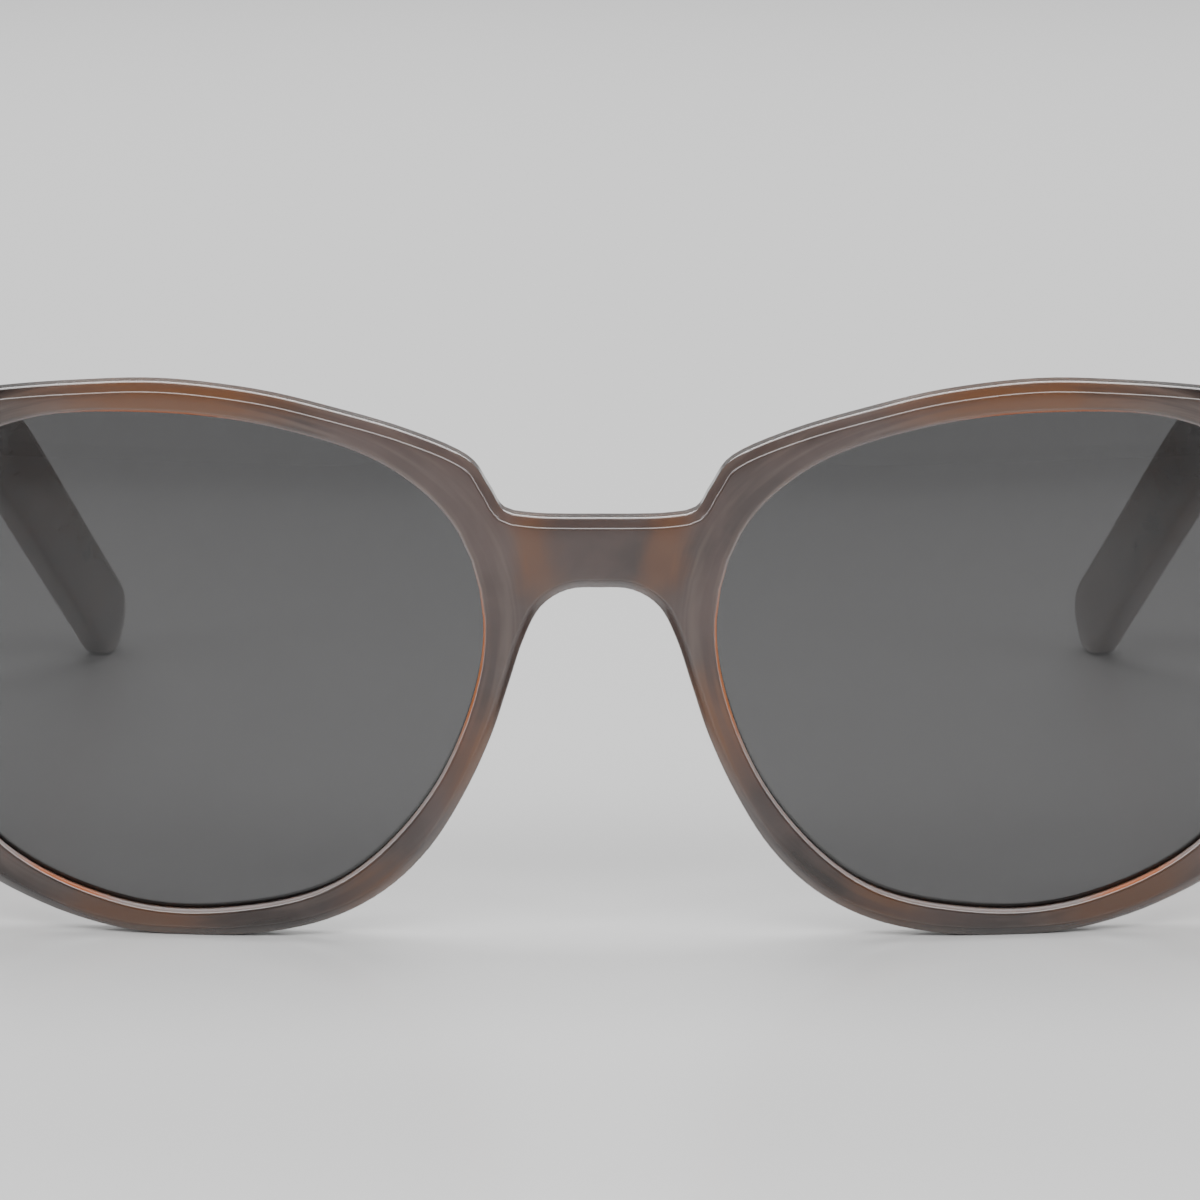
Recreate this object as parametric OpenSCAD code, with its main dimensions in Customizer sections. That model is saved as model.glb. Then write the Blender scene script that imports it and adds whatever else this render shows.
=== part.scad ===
// Smart audio glasses: a polished acetate front with two lenses, and two folding temples.
// Each temple is a hollow housing that holds a cell, a circuit board, a speaker and a microphone.
// Left and right are the wearer's. X runs across to the wearer's left, Y runs back, Z is up.
// The glasses stand on the foot of their rims and on their temple tips.

/* [Front] */
// Width of the front across its end pieces
front_w = 139; // [137:0.5:143]
// Height of the front, from the foot of the rims to their top
front_h = 48.4; // [46:0.2:51]
// Depth of the rims, front face to back face
rim_t = 4.2; // [4:0.1:4.6]
// Radius of the front, seen from above
wrap_r = 300; // [280:10:340]

/* [Lenses] */
// Thickness of each lens
lens_t = 1.6; // [1.2:0.1:1.8]
// Radius of the lens surfaces
lens_r = 240; // [220:10:300]
// How far a lens edge sits in its groove
groove_d = 0.8; // [0.5:0.1:1]

/* [Temples] */
// Height of the temple at the hinge
root_h = 12.4; // [12:0.2:13]
// Height at the neck, where the temple bends over the ear
neck_h = 8.4; // [8:0.2:9.6]
// Height of the paddle at the tip
tip_h = 8; // [7.6:0.2:9]
// Thickness of the hollow housing
housing_t = 6.4; // [6.2:0.1:7]
// Thickness of the solid tip
tip_t = 3.3; // [3.1:0.1:4]
// Distance from the end piece to the bend over the ear
shaft_l = 74.6; // [74:0.2:80]
// Downward slope of the shaft
shaft_slope = 5.5; // [5:0.5:6.5]
// Downward slope of the tip
tip_slope = 38; // [34:1:42]
// Inward angle of the tip, seen from above
tip_yaw = 16; // [14:1:18]

/* [Hinges] */
// Radius of the hinge barrels
barrel_r = 1.5; // [1.3:0.05:1.5]
// Radius of the pivot screw
screw_r = 0.7; // [0.5:0.05:0.8]
// Height of one barrel
barrel_h = 1.5; // [1.4:0.1:1.7]

/* [Hidden] */
$fn = 48;
SIDES = ["left", "right"];

// ---- Outline of the front, in the XZ plane, drawn for a front of 139 by 48.4 ----
drawn_size = [139, 48.4];
// Half of the outside, from the top of the bridge round to its underside
half_outline = [
    [0, 37], [3, 37], [5.8, 37.1], [8.2, 37.6], [9.5, 39.6], [11.4, 42.1], [16.5, 44.3], [22.8, 46.1],
    [29.5, 47.6], [37.5, 48.4], [45, 48.1], [52, 47.4], [58, 46.4], [63.2, 45.3], [67, 44.2],
    [69.2, 42.2], [69.5, 38.3], [69, 34.2], [67, 32], [65, 30.1], [64.1, 25.5], [62.6, 18.5],
    [59.8, 11.6], [55, 6], [48.4, 2.4], [41.8, 0.45], [35.8, 0], [29.5, 0.25], [23.5, 1.6],
    [18.6, 4.2], [14.7, 8], [11.7, 12.8], [9.4, 17.8], [7.9, 22.3], [6.6, 26.3], [5.1, 29.2],
    [2.8, 30.7], [0, 30.9]];
// The opening of the left lens
lens_opening = [
    [10.1, 25.5], [11.8, 35.1], [18.2, 41.4], [28, 44.7], [38.5, 45.8], [49.5, 44.9], [57.6, 40.2],
    [61, 30], [59.2, 18], [52, 8], [42, 3.1], [32, 2.5], [22, 5.4], [14, 14]];

function fitted(points) = [for (p = points) [p.x * front_w / drawn_size.x, p.y * front_h / drawn_size.y]];
function spline_at(a, b, c, d, t) =
    (2 * b + (c - a) * t + (2 * a - 5 * b + 4 * c - d) * t * t + (3 * b - a - 3 * c + d) * t * t * t) / 2;
function closed_curve(p, steps) = [for (i = [0:len(p) - 1], j = [0:steps - 1])
    spline_at(p[(i + len(p) - 1) % len(p)], p[i], p[(i + 1) % len(p)], p[(i + 2) % len(p)], j / steps)];
function with_mirror(half) = concat(half, [for (i = [len(half) - 2:-1:1]) [-half[i].x, half[i].y]]);
// Moves each point of a clockwise curve outward by d
function grown(p, d) = [for (i = [0:len(p) - 1])
    let (along = p[(i + 1) % len(p)] - p[(i + len(p) - 1) % len(p)])
    p[i] + d * [-along.y, along.x] / norm(along)];

outline = closed_curve(with_mirror(fitted(half_outline)), 3);
opening = closed_curve(fitted(lens_opening), 4);

// ---- Places on the front ----
half_w = front_w / 2;
function face_y(x) = wrap_r - sqrt(wrap_r * wrap_r - x * x);
end_t = 4;                                // thickness of an end piece at its outer edge
end_y = face_y(half_w) + end_t;           // flat back of the end pieces
hinge_z = 38 * front_h / drawn_size.y;
hinge_x = half_w - 7.2;
hinge_y = end_y + barrel_r + 0.1;
barrels = 5;
barrel_gap = 0.08;
hinge_l = barrels * barrel_h;
bore_r = screw_r + 0.05;
leaf_t = 1;
leaf_h = 8.4;
front_leaf_x = [hinge_x - 0.9, half_w - 1.3];
stud_r = 0.8;
stud_l = 2;
studs_z = [-2.2, 2.2];
stud_x = half_w - 4;
lens_c = [35.8 * front_w / drawn_size.x, 24 * front_h / drawn_size.y];
lens_angle = asin(lens_c.x / wrap_r);
lens_depth = 0.15;                        // crown of the lens, behind the front face

// ---- Centre line of a temple, by the distance s along it ----
root_y = end_y + 0.3;
temple_x = half_w - housing_t / 2 - 0.1;
bend_r = 40;
bend_l = bend_r * (tip_slope - shaft_slope) * PI / 180;
bend_s = shaft_l;
tip_s = bend_s + bend_l;
bend_start = [root_y + shaft_l * cos(shaft_slope), hinge_z - shaft_l * sin(shaft_slope)];
bend_c = bend_start - bend_r * [sin(shaft_slope), cos(shaft_slope)];
bend_end = bend_c + bend_r * [sin(tip_slope), cos(tip_slope)];
end_s = tip_s + (bend_end.y - tip_h / 2) / sin(tip_slope);
total_s = end_s + tip_h / 2;
function pitch(s) = s < bend_s ? shaft_slope : s < tip_s ? shaft_slope + (s - bend_s) / bend_r * 180 / PI : tip_slope;
function side_at(s) =
    s < bend_s ? [root_y, hinge_z] + s * [cos(shaft_slope), -sin(shaft_slope)]
    : s < tip_s ? bend_c + bend_r * [sin(pitch(s)), cos(pitch(s))]
    : bend_end + (s - tip_s) * [cos(tip_slope), -sin(tip_slope)];
// Seen from above, the temple is straight, then turns inward on one arc, then is straight again
turn_y = [52, 100];
turn_r = (turn_y[1] - turn_y[0]) / sin(tip_yaw);
function yaw(y) = y < turn_y[0] ? 0 : y < turn_y[1] ? asin((y - turn_y[0]) / turn_r) : tip_yaw;
function centre_x(y) =
    y < turn_y[0] ? temple_x
    : y < turn_y[1] ? temple_x - turn_r * (1 - cos(yaw(y)))
    : temple_x - turn_r * (1 - cos(tip_yaw)) - (y - turn_y[1]) * tan(tip_yaw);
function eased(a, b, s) = let (t = min(1, max(0, (s - a) / (b - a)))) t * t * (3 - 2 * t);
function end_round(s) = s <= end_s ? 1 : sqrt(max(0, 1 - pow((s - end_s) / (tip_h / 2), 2)));
function height(s) = (root_h + (neck_h - root_h) * eased(64, 92, s) + (tip_h - neck_h) * eased(98, 122, s))
    * end_round(s);
function thickness(s) = (housing_t + (tip_t - housing_t) * eased(70, 94, s)) * (0.55 + 0.45 * end_round(s));

// Stations from s0 to s1, close together round the tip
function stations(s0, s1) = concat(
    [for (s = [s0:4:min(s1, end_s) - 1]) s], [min(s1, end_s)],
    s1 > end_s ? [for (a = [15:15:75]) end_s + tip_h / 2 * sin(a)] : []);

// Between s0 and s1: the solid from up to down about the centre line, and from x_in to x_out across it
module band(s0, s1, up, down, x_in, x_out) {
    list = stations(s0, s1);
    last = len(list) - 1;
    top = [for (i = [0:last]) side_at(list[i]) + up[i] * [sin(pitch(list[i])), cos(pitch(list[i]))]];
    low = [for (i = [last:-1:0]) side_at(list[i]) - down[i] * [sin(pitch(list[i])), cos(pitch(list[i]))]];
    function across(s, d) = let (y = side_at(s).x) [centre_x(y) + d * cos(yaw(y)), y + d * sin(yaw(y))];
    outer = [for (i = [0:last]) across(list[i], x_out[i])];
    inner = [for (i = [last:-1:0]) across(list[i], x_in[i])];
    reach = tip_h;                        // carries the plan past the ends of the side view
    intersection() {
        translate([temple_x - 40, 0, 0]) rotate([90, 0, 90]) linear_extrude(60) polygon(concat(top, low));
        translate([0, 0, -10]) linear_extrude(80) polygon(concat(
            [across(list[0], x_in[0]) - [0, reach], across(list[0], x_out[0]) - [0, reach]], outer,
            [across(s1 + reach, x_out[last]), across(s1 + reach, x_in[last])], inner));
    }
}

// A band that follows the temple's own height and thickness, this far inside it
module follow(s0, s1, edge = 0, from_in = 0, from_out = 0) {
    list = stations(s0, s1);
    band(s0, s1,
        [for (s = list) height(s) / 2 - edge], [for (s = list) height(s) / 2 - edge],
        [for (s = list) -thickness(s) / 2 + from_in], [for (s = list) thickness(s) / 2 - from_out]);
}

// A band of one height and one thickness, centred this far outward
module ribbon(s0, s1, h, t, out = 0, rise = 0) {
    same = [for (s = stations(s0, s1)) 1];
    band(s0, s1, same * (h / 2 + rise), same * (h / 2 - rise), same * (out - t / 2), same * (out + t / 2));
}

// Puts children on the left temple's centre line: X outward, Y back along the temple, Z up
module on_temple(s) {
    p = side_at(s);
    translate([centre_x(p.x), p.x, p.y]) rotate([-pitch(s), 0, yaw(p.x)]) children();
}

// The model is drawn with the front face at Y 0, and stored with the origin under its middle
total_y = side_at(end_s).x + tip_h / 2;
module placed(side = "left") {
    translate([0, -total_y / 2, 0]) mirror([side == "right" ? 1 : 0, 0, 0]) children();
}

module slab(size) { translate(-size / 2) cube(size); }
module prism(points, y0, y1) {
    translate([0, y1, 0]) rotate([90, 0, 0]) linear_extrude(y1 - y0) polygon(points);
}
module upright_x(r, l) { rotate([0, 90, 0]) cylinder(r = r, h = l, center = true); }

// ---- Front, lenses and nose pads ----
acetate = "#6e6462";
module wrap_cylinder(inset) {
    translate([0, wrap_r, -5]) cylinder(r = wrap_r - inset, h = front_h + 10, $fn = 180);
}
module lens_body(grow, slack) {
    centre = [lens_c.x / wrap_r, -cos(lens_angle)];
    r_out = lens_r + slack;
    r_in = lens_r - lens_t - slack;
    middle = [0, wrap_r] + (wrap_r - lens_depth - lens_r) * centre;
    intersection() {
        prism(grown(opening, grow), -3, 14);
        translate([middle.x, middle.y, lens_c.y]) difference() {
            sphere(r = r_out, $fn = 128);
            sphere(r = r_in, $fn = 128);
        }
    }
}
module front_leaf_pocket(slack) {
    translate([front_leaf_x[0] - slack, end_y - leaf_t - slack, hinge_z - leaf_h / 2 - slack])
        cube([front_leaf_x[1] - front_leaf_x[0] + 2 * slack, leaf_t + 1, leaf_h + 2 * slack]);
    for (z = studs_z) translate([stud_x, end_y - leaf_t - stud_l - slack, hinge_z + z])
        rotate([-90, 0, 0]) cylinder(r = stud_r + slack, h = stud_l + 1);
}
module front_frame() {
    end_zone = [[hinge_x - 0.6, 20], [half_w + 1, 20], [half_w + 1, front_h], [hinge_x - 0.6, front_h]];
    color(acetate) placed() difference() {
        intersection() {
            prism(outline, -1, end_y);
            wrap_cylinder(0);
            difference() {
                translate([-half_w - 5, -5, -5]) cube([front_w + 10, 30, front_h + 10]);
                difference() {
                    wrap_cylinder(rim_t);
                    for (m = [0, 1]) mirror([m, 0, 0]) prism(end_zone, -1, end_y + 1);
                }
            }
        }
        for (m = [0, 1]) mirror([m, 0, 0]) {
            prism(opening, -5, 20);
            lens_body(groove_d + 0.1, 0.05);
            front_leaf_pocket(0.03);
        }
    }
}
module lens(side) { color([0.55, 0.55, 0.57, 0.5]) placed(side) lens_body(groove_d, 0); }
module nose_pad(side) {
    // Each line: centre and radius of a ball that the pad is stretched over
    balls = [
        [[8.2, 5, 25.6], 1.3], [[9.6, 5, 20.6], 1.3], [[11.9, 5, 15], 1.3],
        [[8.6, 8.2, 25], 1.1], [[10, 9.3, 20.6], 1.3], [[12.2, 8.4, 16], 1.1]];
    color("#7d7470") placed(side) difference() {
        hull() for (b = balls) translate(b[0]) sphere(r = b[1], $fn = 32);
        difference() {
            translate([0, -1, 0]) cube([30, 20, front_h]);
            wrap_cylinder(rim_t + 0.02);
        }
    }
}

// ---- Hinges ----
module barrel(index, r, l_extra = 0) {
    translate([hinge_x, hinge_y, hinge_z - hinge_l / 2 + index * barrel_h + barrel_gap / 2 - l_extra / 2])
        cylinder(r = r, h = barrel_h - barrel_gap + l_extra);
}
module hinge_bore() {
    translate([hinge_x, hinge_y, hinge_z - hinge_l]) cylinder(r = bore_r, h = 2 * hinge_l);
}
module front_hinge(side) {
    web = [1.7, 1.8, barrel_h - barrel_gap];
    color("silver") placed(side) difference() {
        union() {
            front_leaf_pocket_solid();
            for (i = [0:2:barrels - 1]) {
                barrel(i, barrel_r);
                translate([hinge_x - 1.2, hinge_y - web.y, hinge_z - hinge_l / 2 + i * barrel_h + barrel_gap / 2])
                    cube(web);
            }
        }
        hinge_bore();
    }
}
module front_leaf_pocket_solid() {
    translate([front_leaf_x[0], end_y - leaf_t, hinge_z - leaf_h / 2])
        cube([front_leaf_x[1] - front_leaf_x[0], leaf_t, leaf_h]);
    for (z = studs_z) translate([stud_x, end_y - leaf_t - stud_l, hinge_z + z])
        rotate([-90, 0, 0]) cylinder(r = stud_r, h = stud_l + 0.1);
}
temple_leaf = [1.1, 11, 7.2];
module temple_leaf_plate(slack) {
    // Lies along the inner face of the temple, from its root back
    translate([temple_x - housing_t / 2 - slack * 8, root_y + 0.2 - slack, hinge_z - temple_leaf.z / 2 - slack])
        cube(temple_leaf + [slack * 9, 2 * slack, 2 * slack]);
    for (s = [4.6, 9]) translate([temple_x - housing_t / 2 + 1, root_y + s, hinge_z])
        rotate([0, 90, 0]) cylinder(r = stud_r + slack, h = stud_l + slack);
}
module temple_hinge(side) {
    color("silver") placed(side) difference() {
        union() {
            temple_leaf_plate(0);
            for (i = [1:2:barrels - 2]) barrel(i, barrel_r);
        }
        for (i = [0:2:barrels - 1]) barrel(i, barrel_r + 0.2, 2 * barrel_gap);
        hinge_bore();
    }
}
module hinge_screw(side) {
    head_h = 0.6;
    top_z = hinge_z + hinge_l / 2 - barrel_gap / 2;
    color("gainsboro") placed(side) difference() {
        union() {
            translate([hinge_x, hinge_y, hinge_z - hinge_l / 2]) cylinder(r = screw_r, h = hinge_l);
            translate([hinge_x, hinge_y, top_z]) cylinder(r = barrel_r - 0.3, h = head_h);
        }
        translate([hinge_x, hinge_y, top_z + head_h]) slab([4, 0.35, 0.6]);
    }
}

// ---- Temples ----
cavity_s = [17.5, 73];
cover_s = [13, 76.5];
cover_t = 1.2;
cover_edge = 1.1;
cavity_edge = 1.9;
outer_wall = 1.1;
wire_s = [84, end_s - 2];
wire_h = 2.4;
wire_t = 1;
cover_screw_s = [15, 75];
contact_s = [19.5, 26.5];
magnet_s = 23;
light_s = 31;
slider_s = 36;
slider_travel = 2;
mic_s = 19.5;
button_s = 27;
button_l = 7;
button_travel = 0.35;
mesh_s = 67.5;
mesh_l = 7;
slit_count = 5;

function inner_face(s) = -thickness(s) / 2;
module cover_plate(slack) { follow(cover_s[0] - slack, cover_s[1] + slack, cover_edge - slack, -slack * 10, 0); }
module inner_layer(s0, s1, depth) {
    // The part of a temple that lies within this depth of its inner face
    list = stations(s0, s1);
    band(s0, s1, [for (s = list) height(s)], [for (s = list) height(s)],
        [for (s = list) inner_face(s) - 1], [for (s = list) inner_face(s) + depth]);
}
module pen_hole(s, r, l = 4) { on_temple(s) translate([inner_face(s), 0, 0]) upright_x(r, l); }
module slider_slot(slack) {
    on_temple(slider_s) translate([inner_face(slider_s), 0, 0])
        slab([4, 2.6 + slider_travel + 2 * slack, 2 + 2 * slack]);
}
module mesh_slits() {
    for (i = [0:slit_count - 1]) on_temple(mesh_s + (i - (slit_count - 1) / 2) * 1.4)
        translate([0, 0, -height(mesh_s) / 2]) slab([2, 0.7, 4.4]);
}
module temple_housing(side) {
    color(acetate) placed(side) difference() {
        intersection() {
            follow(-1, total_s);
            translate([0, root_y, -1]) cube([front_w, total_y, front_h + 10]);
        }
        follow(cavity_s[0], cavity_s[1], cavity_edge, cover_t, outer_wall);
        intersection() {
            cover_plate(0.06);
            inner_layer(cover_s[0] - 1, cover_s[1] + 1, cover_t + 0.04);
        }
        temple_leaf_plate(0.04);
        translate([hinge_x, hinge_y, hinge_z - hinge_l / 2 - 1]) cylinder(r = barrel_r + 0.3, h = hinge_l + 2.2);
        ribbon(wire_s[0] - 0.1, wire_s[1] + 0.1, wire_h + 0.1, wire_t + 0.1);
        for (s = cover_screw_s) pen_hole(s, 0.45, 8);
        on_temple(mic_s) translate([0.2, 0, -root_h / 2]) cylinder(r = 0.4, h = 5, center = true);
        mesh_slits();
        if (side == "right") on_temple(button_s) translate([0.6, 0, root_h / 2])
            slab([2.6, button_l + 0.2, 4.4]);
    }
}
module temple_cover(side) {
    color("#5c5351") placed(side) difference() {
        intersection() {
            cover_plate(0);
            inner_layer(cover_s[0] - 1, cover_s[1] + 1, cover_t);
        }
        for (s = contact_s) pen_hole(s, 1.15);
        for (s = cover_screw_s) {
            pen_hole(s, 0.5);
            pen_hole(s, 0.95, 0.8);
        }
        pen_hole(light_s, 0.55);
        if (side == "left") slider_slot(0.1);
    }
}
module core_wire(side) { color("silver") placed(side) ribbon(wire_s[0], wire_s[1], wire_h, wire_t); }
module cover_screws(side) {
    color("dimgray") placed(side) for (s = cover_screw_s) on_temple(s) translate([inner_face(s), 0, 0])
        difference() {
            union() {
                translate([0.25, 0, 0]) upright_x(0.9, 0.3);
                translate([1.6, 0, 0]) upright_x(0.4, 2.6);
            }
            slab([0.5, 0.25, 1.2]);
        }
}

// ---- Electronics ----
module battery(side) {
    size = [3.3, 22, 7.6];
    color("lightsteelblue") placed(side) on_temple(51.8) translate([-0.15, 0, 0]) {
        slab(size);
        translate([0, -size.y / 2 - 0.4, 0]) slab([1.6, 0.8, 6]);
    }
}
module circuit_board(side) {
    // Board, shield can, then the small chips and the plug for the ribbon cable
    chips = [[25.5, -0.2, 7.2, 5], [33, 1.2, 2.6, 2.6], [33, -2, 2.2, 2.4], [37.2, 0, 2, 5]];
    color("darkgreen") placed(side) on_temple(29) translate([1.1, 0, -0.4]) slab([0.7, 20, 6.8]);
    color("gray") placed(side) for (c = chips)
        on_temple(c[0]) translate([0.4, 0, c[1]]) slab([0.8, c[2], c[3]]);
}
module ribbon_cable(side) {
    color("orange") placed(side) union() {
        ribbon(37, 64.6, 3, 0.12, 1.95);
        on_temple(37.6) translate([1.74, 0, 0]) slab([0.54, 1.6, 3]);
    }
}
module speaker(side) {
    color("dimgray") placed(side) on_temple(68) translate([0.1, 0, 0.4]) {
        slab([3, 8.6, 5.6]);
        translate([0, 0, -3]) slab([2.2, 7.2, 0.6]);
    }
}
module speaker_mesh(side) {
    color("black") placed(side) on_temple(mesh_s) translate([0.1, 0, -height(mesh_s) / 2 + cavity_edge + 0.4])
        slab([2.6, mesh_l, 0.3]);
}
module microphone(side) {
    color("goldenrod") placed(side) on_temple(mic_s) translate([0.2, 0, -root_h / 2 + cavity_edge + 0.3])
        slab([0.7, 2.6, 0.5]);
}
module antenna(side) {
    color("darkorange") placed(side) on_temple(52) translate([0.1, 0, root_h / 2 - cavity_edge - 0.25])
        slab([2.6, 20, 0.15]);
}
module touch_sensor(side) {
    color("orange") placed(side) on_temple(28.6) translate([housing_t / 2 - outer_wall - 0.15, 0, 0])
        slab([0.15, 16, 7.4]);
}
module charging_contacts(side) {
    color("gold") placed(side) for (s = contact_s) on_temple(s) translate([inner_face(s) + 1, 0, 0]) union() {
        translate([-0.2, 0, 0]) upright_x(1.1, 1.5);
        translate([0.65, 0, 0]) upright_x(1.5, 0.4);
    }
}
module charging_magnet(side) {
    color("silver") placed(side) on_temple(magnet_s) translate([inner_face(magnet_s) + cover_t + 0.5, 0, 0])
        upright_x(1.7, 0.8);
}
module status_light(side) {
    color("white") placed(side) on_temple(light_s) translate([inner_face(light_s) + 0.9, 0, 0])
        upright_x(0.5, 1.6);
}
module power_slider() {
    color("dimgray") placed("left") on_temple(slider_s - slider_travel / 2) translate([inner_face(slider_s), 0, 0])
        difference() {
            translate([0.75, 0, 0]) slab([1.7, 2.6, 2]);
            for (y = [-0.7, 0, 0.7]) translate([-0.1, y, 0]) slab([0.2, 0.25, 1.8]);
        }
}
module power_switch() {
    color("black") placed("left") on_temple(slider_s) translate([inner_face(slider_s) + 2.05, 0, 0])
        slab([0.7, 5, 2.8]);
}
module action_button() {
    color("#4a4342") placed("right") on_temple(button_s) translate([0.6, 0, root_h / 2]) union() {
        translate([0, 0, -0.7]) slab([2.4, button_l, 2.4]);
        translate([0, 0, -2.05]) slab([2.4, button_l + 1.2, 0.3]);
    }
}
module button_switch() {
    color("gainsboro") placed("right") on_temple(button_s) translate([0.6, 0, root_h / 2 - 2.85])
        slab([2, 3, 0.5]);
}

front_frame();
power_slider();
power_switch();
action_button();
button_switch();
for (side = SIDES) {
    lens(side);
    nose_pad(side);
    front_hinge(side);
    hinge_screw(side);
    temple_housing(side);
    temple_cover(side);
    temple_hinge(side);
    core_wire(side);
    battery(side);
    circuit_board(side);
    speaker(side);
    speaker_mesh(side);
    microphone(side);
    antenna(side);
    touch_sensor(side);
    charging_contacts(side);
    charging_magnet(side);
    status_light(side);
    ribbon_cable(side);
    cover_screws(side);
}
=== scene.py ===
"""Smart audio glasses: a mottled acetate front with smoke lenses, and two temples that hold the electronics.

Left and right are the wearer's. X runs to the wearer's left, Y runs back, Z is up, in metres.
"""

import bisect
import math

import bmesh
import bpy
from mathutils import Matrix, Vector


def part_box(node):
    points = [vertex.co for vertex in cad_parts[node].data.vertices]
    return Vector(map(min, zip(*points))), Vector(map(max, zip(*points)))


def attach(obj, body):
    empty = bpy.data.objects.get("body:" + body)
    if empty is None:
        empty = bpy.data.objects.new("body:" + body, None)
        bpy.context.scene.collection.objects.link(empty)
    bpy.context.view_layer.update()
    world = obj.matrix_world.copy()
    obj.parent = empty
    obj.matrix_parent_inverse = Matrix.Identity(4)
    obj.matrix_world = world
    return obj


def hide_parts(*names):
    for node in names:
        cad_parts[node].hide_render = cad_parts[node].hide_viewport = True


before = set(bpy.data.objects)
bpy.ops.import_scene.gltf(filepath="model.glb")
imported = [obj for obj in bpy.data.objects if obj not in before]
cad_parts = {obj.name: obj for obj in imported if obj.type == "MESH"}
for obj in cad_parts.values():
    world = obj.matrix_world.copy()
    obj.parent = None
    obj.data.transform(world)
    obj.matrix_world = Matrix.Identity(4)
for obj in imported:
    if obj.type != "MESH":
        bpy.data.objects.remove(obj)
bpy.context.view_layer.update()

# ---- Camera, floor and light ----
# The camera stands in front of the glasses and a little above them, close enough to fill the
# view with the lenses and the bridge.
MM = 0.001
front_low, front_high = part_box("front_frame")
face_y = front_low.y
camera_distance = 715 * MM
camera_height = 164 * MM
aim_height = 30 * MM

camera_data = bpy.data.cameras.new("camera")
camera_data.lens = 255
camera_data.sensor_width = 36
camera_data.clip_start = 0.01
camera = bpy.data.objects.new("camera", camera_data)
camera.location = (0, face_y - camera_distance, camera_height)
aim = Vector((0, face_y, aim_height))
camera.rotation_euler = (aim - camera.location).to_track_quat("-Z", "Y").to_euler()
bpy.context.scene.collection.objects.link(camera)
bpy.context.scene.camera = camera


def new_object(name, bm, smooth_angle=None):
    """Makes a piece from a bmesh, with its place in its mesh."""
    mesh = bpy.data.meshes.new(name)
    bm.to_mesh(mesh)
    bm.free()
    if smooth_angle is not None:
        mesh.shade_smooth()
        mesh.set_sharp_from_angle(angle=math.radians(smooth_angle))
    piece = bpy.data.objects.new(name, mesh)
    bpy.context.scene.collection.objects.link(piece)
    return piece


def shader(name, **values):
    """A material with one Principled shader whose sockets take these values, and that shader's node."""
    material = bpy.data.materials.new(name)
    material.use_nodes = True
    node = material.node_tree.nodes["Principled BSDF"]
    for socket, value in values.items():
        node.inputs[socket.replace("_", " ")].default_value = value
    return material, node


def grey(value, alpha=1.0):
    return (value, value, value, alpha)


bm = bmesh.new()
bmesh.ops.create_grid(bm, x_segments=1, y_segments=1, size=3)
floor = new_object("floor", bm)
floor.data.materials.append(shader("floor_paper", Base_Color=grey(0.62), Roughness=0.14)[0])

world = bpy.data.worlds.new("studio")
world.use_nodes = True
world.node_tree.nodes["Background"].inputs["Color"].default_value = grey(0.85)
world.node_tree.nodes["Background"].inputs["Strength"].default_value = 0.3
bpy.context.scene.world = world

# name, place, size across and along, watts: all point at the middle of the front
lamps = [
    ("overhead_softbox", (0, 0.3, 0.8), (0.9, 0.5), 10),
    ("left_strip", (0.6, -0.45, 0.3), (0.1, 0.7), 3),
    ("right_strip", (-0.6, -0.45, 0.3), (0.1, 0.7), 3),
    ("back_softbox", (0, 0.7, 0.42), (0.8, 0.2), 6),
    ("front_softbox", (0, -0.7, 0.6), (1.1, 0.32), 10),
]
for name, place, size, watts in lamps:
    lamp = bpy.data.lights.new(name, "AREA")
    lamp.shape = "RECTANGLE"
    lamp.size, lamp.size_y = size
    lamp.energy = watts
    stand = bpy.data.objects.new(name, lamp)
    stand.location = place
    stand.rotation_euler = (Vector((0, 0, 0.03)) - stand.location).to_track_quat("-Z", "Y").to_euler()
    bpy.context.scene.collection.objects.link(stand)

# ---- Front frame ----
# The front is milled from one sheet of mottled acetate, heated and bent round a former, then
# tumbled and polished so that every edge is round. A groove inside each opening holds a lens.
half_outline = [
    (0, 37), (3, 37), (5.8, 37.1), (8.2, 37.6), (9.5, 39.6), (11.4, 42.1), (16.5, 44.3), (22.8, 46.1),
    (29.5, 47.6), (37.5, 48.4), (45, 48.1), (52, 47.4), (58, 46.4), (63.2, 45.3), (67, 44.2),
    (69.2, 42.2), (69.5, 38.3), (69, 34.2), (67, 32), (65, 30.1), (64.1, 25.5), (62.6, 18.5),
    (59.8, 11.6), (55, 6), (48.4, 2.4), (41.8, 0.45), (35.8, 0), (29.5, 0.25), (23.5, 1.6),
    (18.6, 4.2), (14.7, 8), (11.7, 12.8), (9.4, 17.8), (7.9, 22.3), (6.6, 26.3), (5.1, 29.2),
    (2.8, 30.7), (0, 30.9)]
lens_opening = [
    (10.1, 25.5), (11.8, 35.1), (18.2, 41.4), (28, 44.7), (38.5, 45.8), (49.5, 44.9), (57.6, 40.2),
    (61, 30), (59.2, 18), (52, 8), (42, 3.1), (32, 2.5), (22, 5.4), (14, 14)]
bridge_top, bridge_foot = 3, 35           # where the bridge meets the rims, along half_outline
wrap_r = 300 * MM
rim_t = 4.2 * MM                          # the sheet's thickness
lens_c = Vector((35.8, 0, 24)) * MM
end_back = front_high.y - 0.05 * MM       # the hinge leaves stand this much proud
end_x, end_z = 59.2 * MM, 26.5 * MM       # the end pieces thicken outward of here, above here
end_rise_x, end_rise_z = 2.1 * MM, 5 * MM
groove_d = 0.9 * MM
point_step = 0.2
ring_shares = (0.68, 0.45, 1)             # of the way left to the opening, ring by ring
bridge_columns = 8
outside_cuts = 0.8 * MM, 1.1 * MM         # at the front and at the back
opening_cuts = 0.4 * MM, 0.9 * MM
crest_round = 0.35 * MM


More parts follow.
